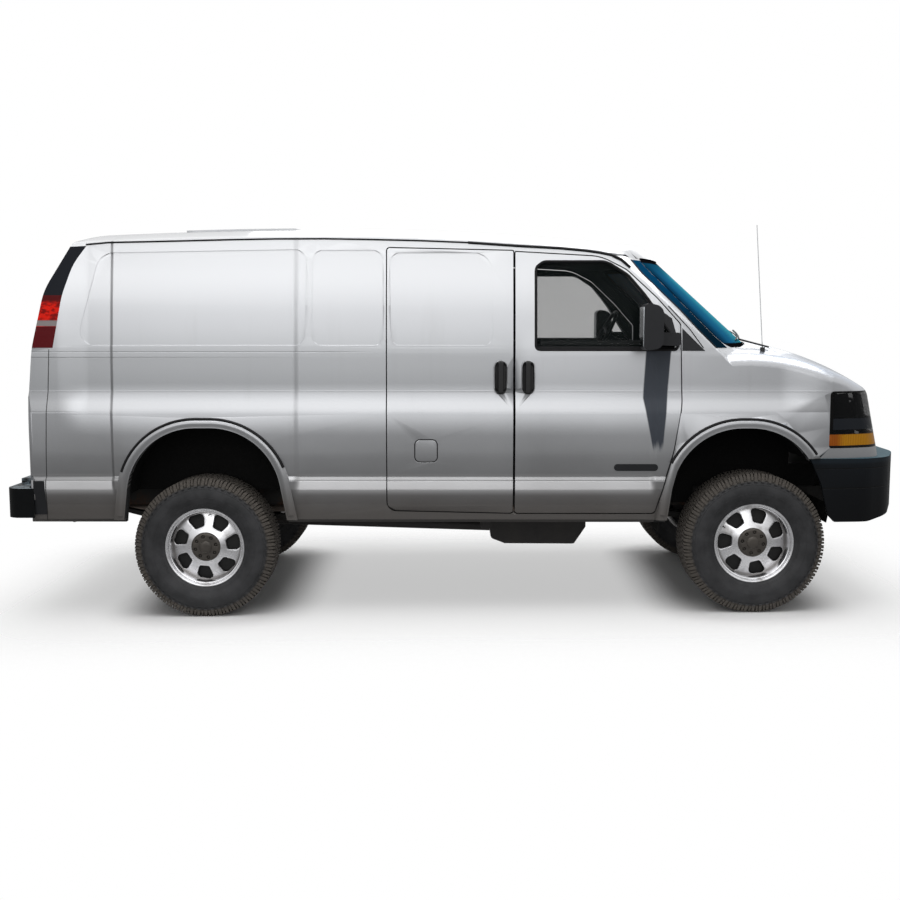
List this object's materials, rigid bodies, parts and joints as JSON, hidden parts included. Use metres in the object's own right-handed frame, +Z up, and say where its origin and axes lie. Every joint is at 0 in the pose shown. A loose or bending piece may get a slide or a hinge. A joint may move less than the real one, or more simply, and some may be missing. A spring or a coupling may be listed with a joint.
{
  "type": "cargo van",
  "caption": "Lifted four-wheel-drive cargo van: long hood, silver panelled body, hinged doors front, side and rear, wide tyres on alloy wheels, step bumper.",
  "frame": {"origin": "bottom centre of the bounding box, on the ground between the wheels", "axes": "+X towards the front bumper, +Y to the van's left, +Z up"},
  "size_m": [5.6826, 2.38, 2.4712],
  "materials": {
    "body_paint": "silver metallic, weathered and dusty low down",
    "vent_paint": "pale grey, satin",
    "mirror_plastic": "grained black",
    "window_glass": "dark tint",
    "screen_glass": "blue-green tint",
    "lamp_glass": "clear over chromed bowls, amber below",
    "tail_lamp_red": "red and clear bands, dark filler above",
    "grille_plastic": "dark with a bright frame",
    "front_bumper_plastic": "grained black, dusty",
    "rear_bumper_steel": "black with a worn pale top",
    "antenna_black": "black",
    "dash_plastic": "grained dark grey",
    "seat_fabric": "grey woven cloth",
    "floor_paint": "grey, scuffed",
    "chassis_paint": "black with road dirt and rust",
    "rod_steel": "dull steel",
    "engine_iron": "cast, oily",
    "tank_plastic": "black",
    "exhaust_steel": "heat-stained, rusty",
    "tyre_rubber": "dusty brown on the tread",
    "rim_alloy": "machined, with a dark hub cap"
  },
  "bodies": {
    "van_body": {"frame": "chassis_paint", "floor": "floor_paint", "roof": "body_paint", "roof_vent": "vent_paint", "body_side_left": "body_paint", "body_side_right": "body_paint", "cowl": "body_paint", "fender_left": "body_paint", "fender_right": "body_paint", "windshield": "screen_glass", "headlamps": "lamp_glass", "grille": "grille_plastic", "tail_lamps": "tail_lamp_red", "bumper_front": "front_bumper_plastic", "bumper_rear": "rear_bumper_steel", "antenna": "antenna_black", "dashboard": "dash_plastic", "seats": "seat_fabric", "powertrain": "engine_iron", "fuel_tank": "tank_plastic", "exhaust": "exhaust_steel", "suspension": "chassis_paint", "axle_front": "chassis_paint", "axle_rear": "chassis_paint"},
    "hood": {"hood": "body_paint"},
    "front_door_left": {"door_front_left": "body_paint", "glass_front_left": "window_glass", "mirror_left": "mirror_plastic"},
    "front_door_right": {"door_front_right": "body_paint", "glass_front_right": "window_glass", "mirror_right": "mirror_plastic"},
    "side_door": {"door_side": "body_paint"},
    "rear_door_left": {"door_rear_left": "body_paint", "glass_rear_left": "window_glass"},
    "rear_door_right": {"door_rear_right": "body_paint", "glass_rear_right": "window_glass"},
    "knuckle_left": {"knuckle_left": "chassis_paint"},
    "knuckle_right": {"knuckle_right": "chassis_paint"},
    "tie_rod": {"tie_rod": "rod_steel"},
    "wheel_front_left": {"tyre_front_left": "tyre_rubber", "rim_front_left": "rim_alloy"},
    "wheel_front_right": {"tyre_front_right": "tyre_rubber", "rim_front_right": "rim_alloy"},
    "wheel_rear_left": {"tyre_rear_left": "tyre_rubber", "rim_rear_left": "rim_alloy"},
    "wheel_rear_right": {"tyre_rear_right": "tyre_rubber", "rim_rear_right": "rim_alloy"}
  },
  "joints": [
    {"name": "front_door_right_hinge", "type": "hinge", "parent": "van_body", "child": "front_door_right", "pos_m": [1.32563, -1.007, 1.38808], "axis": [0.009, 0, 1], "range_deg": [0, 68]},
    {"name": "front_door_left_hinge", "type": "hinge", "parent": "van_body", "child": "front_door_left", "pos_m": [1.32563, 1.007, 1.38808], "axis": [-0.009, 0, -1], "range_deg": [0, 68]},
    {"name": "side_door_hinge", "type": "hinge", "parent": "van_body", "child": "side_door", "pos_m": [-0.4363, -1.007, 1.40392], "axis": [-0.009, 0, -1], "range_deg": [0, 90]},
    {"name": "rear_door_right_hinge", "type": "hinge", "parent": "van_body", "child": "rear_door_right", "pos_m": [-2.64581, -0.808, 1.69079], "axis": [0.1572, 0, 0.9876], "range_deg": [0, 105]},
    {"name": "rear_door_left_hinge", "type": "hinge", "parent": "van_body", "child": "rear_door_left", "pos_m": [-2.64581, 0.808, 1.69079], "axis": [-0.1572, 0, -0.9876], "range_deg": [0, 105]},
    {"name": "hood_hinge", "type": "hinge", "parent": "van_body", "child": "hood", "pos_m": [1.99332, 0, 1.68409], "axis": [0, -1, 0], "range_deg": [0, 50]},
    {"name": "rear_wheel_left_spin", "type": "hinge", "parent": "van_body", "child": "wheel_rear_left", "pos_m": [-1.61403, 0.855, 0.438], "axis": [0, 1, 0], "continuous": true},
    {"name": "rear_wheel_right_spin", "type": "hinge", "parent": "van_body", "child": "wheel_rear_right", "pos_m": [-1.61403, -0.855, 0.438], "axis": [0, 1, 0], "continuous": true},
    {"name": "steer_left", "type": "hinge", "parent": "van_body", "child": "knuckle_left", "pos_m": [1.81511, 0.77, 0.438], "axis": [0.009, 0, 1], "range_deg": [-30, 30]},
    {"name": "steer_right", "type": "hinge", "parent": "van_body", "child": "knuckle_right", "pos_m": [1.81511, -0.77, 0.438], "axis": [0.009, 0, 1], "range_deg": [-30, 30]},
    {"name": "tie_rod_pivot", "type": "hinge", "parent": "knuckle_left", "child": "tie_rod", "pos_m": [1.7012, 0.77, 0.56003], "axis": [0.009, 0, 1], "range_deg": [-30, 30]},
    {"name": "front_wheel_left_spin", "type": "hinge", "parent": "knuckle_left", "child": "wheel_front_left", "pos_m": [1.81511, 0.855, 0.438], "axis": [0, 1, 0], "continuous": true},
    {"name": "front_wheel_right_spin", "type": "hinge", "parent": "knuckle_right", "child": "wheel_front_right", "pos_m": [1.81511, -0.855, 0.438], "axis": [0, 1, 0], "continuous": true}
  ],
  "couplings": [
    {"joint": "steer_right", "follows": "steer_left", "ratio": 1},
    {"joint": "tie_rod_pivot", "follows": "steer_left", "ratio": -1}
  ]
}
